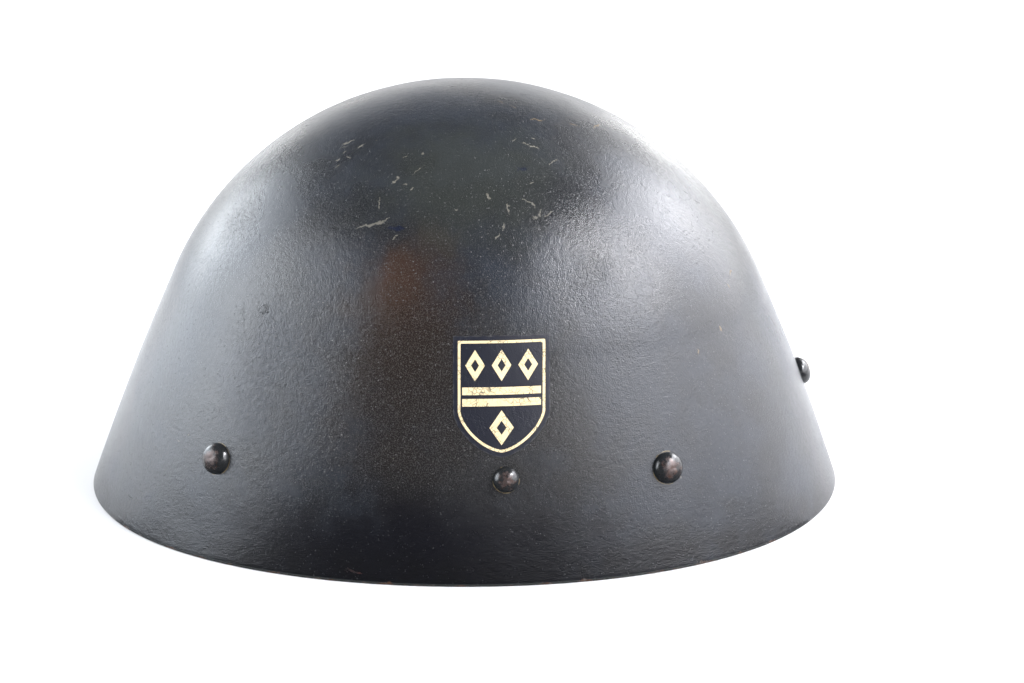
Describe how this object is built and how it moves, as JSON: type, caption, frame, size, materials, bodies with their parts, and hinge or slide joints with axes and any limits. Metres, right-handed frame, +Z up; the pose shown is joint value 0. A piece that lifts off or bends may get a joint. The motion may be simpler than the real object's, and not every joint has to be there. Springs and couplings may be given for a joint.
{
  "type": "steel helmet shell",
  "caption": "Deep oval pressed steel helmet shell with level rim, domed side and rear rivets and a small shield-shaped side label; open below for the head.",
  "frame": {"origin": "middle of the helmet's box, on the level of the rim that it rests on", "axes": "+Z up through the crown, -Y towards the front, +X towards the wearer's left, where the label is"},
  "size_m": [0.2398, 0.2958, 0.1555],
  "materials": {
    "shell_paint": "satin, finely grained and worn",
    "rivet_steel": "dark, half worn to bare steel",
    "label_print": "thin transfer, worn"
  },
  "bodies": {
    "root": {"helmet_shell": "shell_paint", "front_rivet_left": "rivet_steel", "front_rivet_right": "rivet_steel", "chin_rivet_left": "rivet_steel", "chin_rivet_right": "rivet_steel", "rear_rivet_left": "rivet_steel", "rear_rivet_right": "rivet_steel", "rear_rivet_center": "rivet_steel", "side_shield_label": "label_print"}
  },
  "joints": []
}
